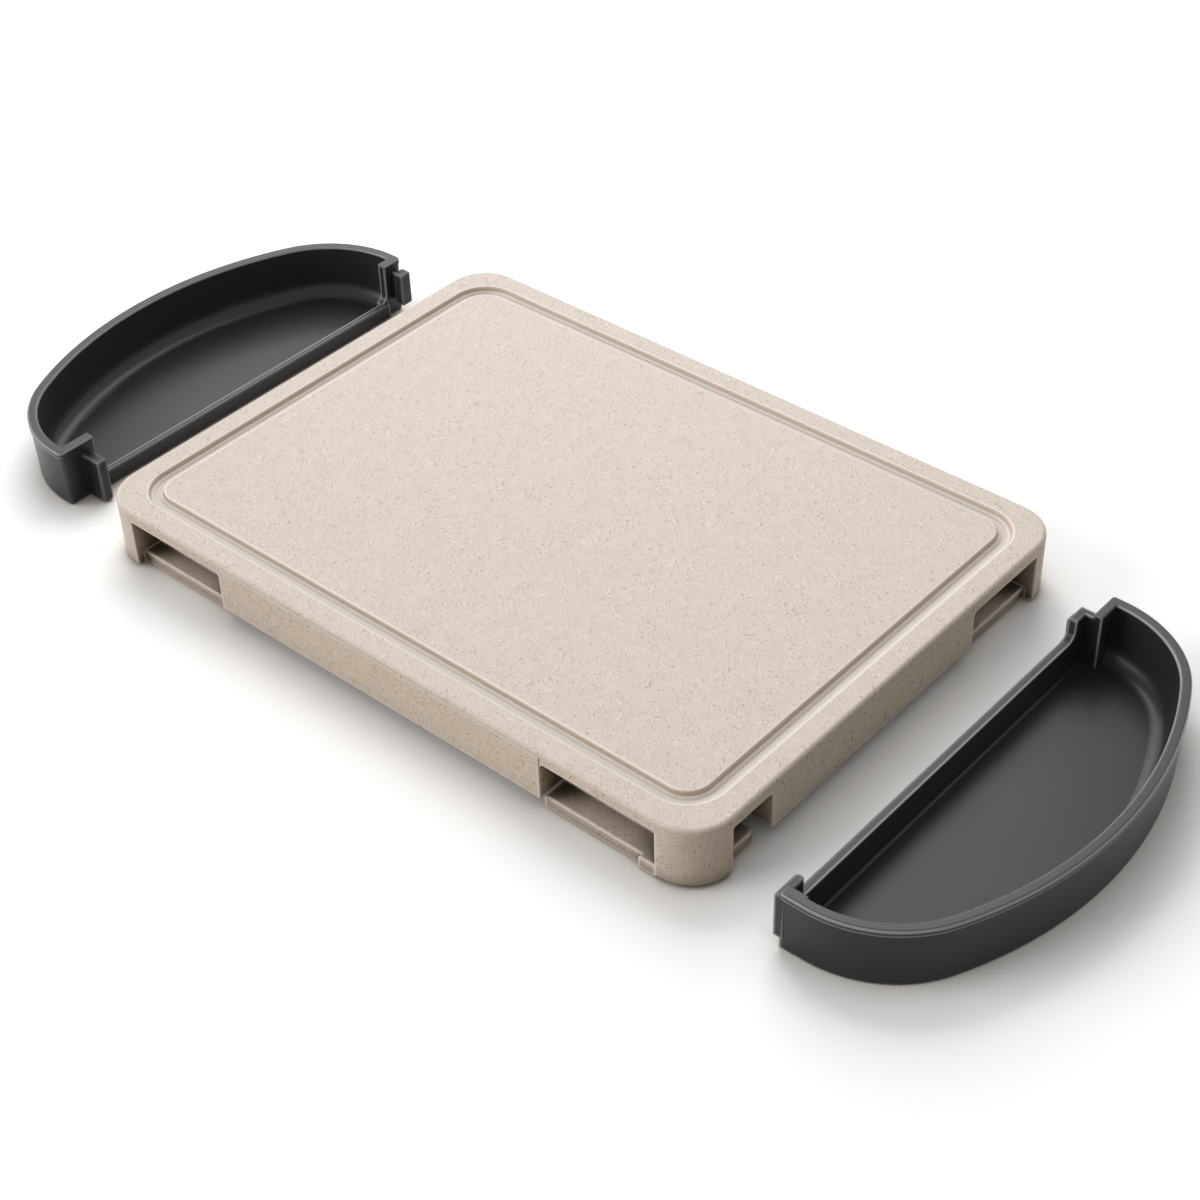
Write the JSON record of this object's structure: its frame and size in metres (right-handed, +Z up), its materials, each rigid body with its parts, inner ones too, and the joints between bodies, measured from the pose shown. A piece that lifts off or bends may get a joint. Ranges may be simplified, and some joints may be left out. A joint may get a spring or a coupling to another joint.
{
  "type": "cutting board with end trays",
  "caption": "Rectangular cutting board with a juice groove and corner pockets, and a D-shaped scrap tray that docks at each short end.",
  "frame": {"origin": "on the worktop, under the middle of the board and of the whole object at rest", "axes": "+X along the board's long side from the left tray to the right tray, +Y from the front long side to the back one, +Z up out of the cutting face"},
  "size_m": [0.6281, 0.2766, 0.0348],
  "materials": {
    "board_composite": "matte, speckled with fine plant fibre",
    "tray_plastic": "satin",
    "pad_rubber": "matte"
  },
  "bodies": {
    "board": {"board_shell": "board_composite", "corner_base_front_left": "board_composite", "corner_base_front_right": "board_composite", "corner_base_back_left": "board_composite", "corner_base_back_right": "board_composite", "foot_pad_front_left": "pad_rubber", "foot_pad_front_right": "pad_rubber", "foot_pad_back_left": "pad_rubber", "foot_pad_back_right": "pad_rubber"},
    "left_tray": {"tray_left": "tray_plastic"},
    "right_tray": {"tray_right": "tray_plastic"}
  },
  "joints": [
    {"name": "left_tray_slide", "type": "slide", "parent": "board", "child": "left_tray", "axis": [1, 0, 0], "range_m": [0, 0.04]},
    {"name": "right_tray_slide", "type": "slide", "parent": "board", "child": "right_tray", "axis": [-1, 0, 0], "range_m": [0, 0.0358]}
  ]
}
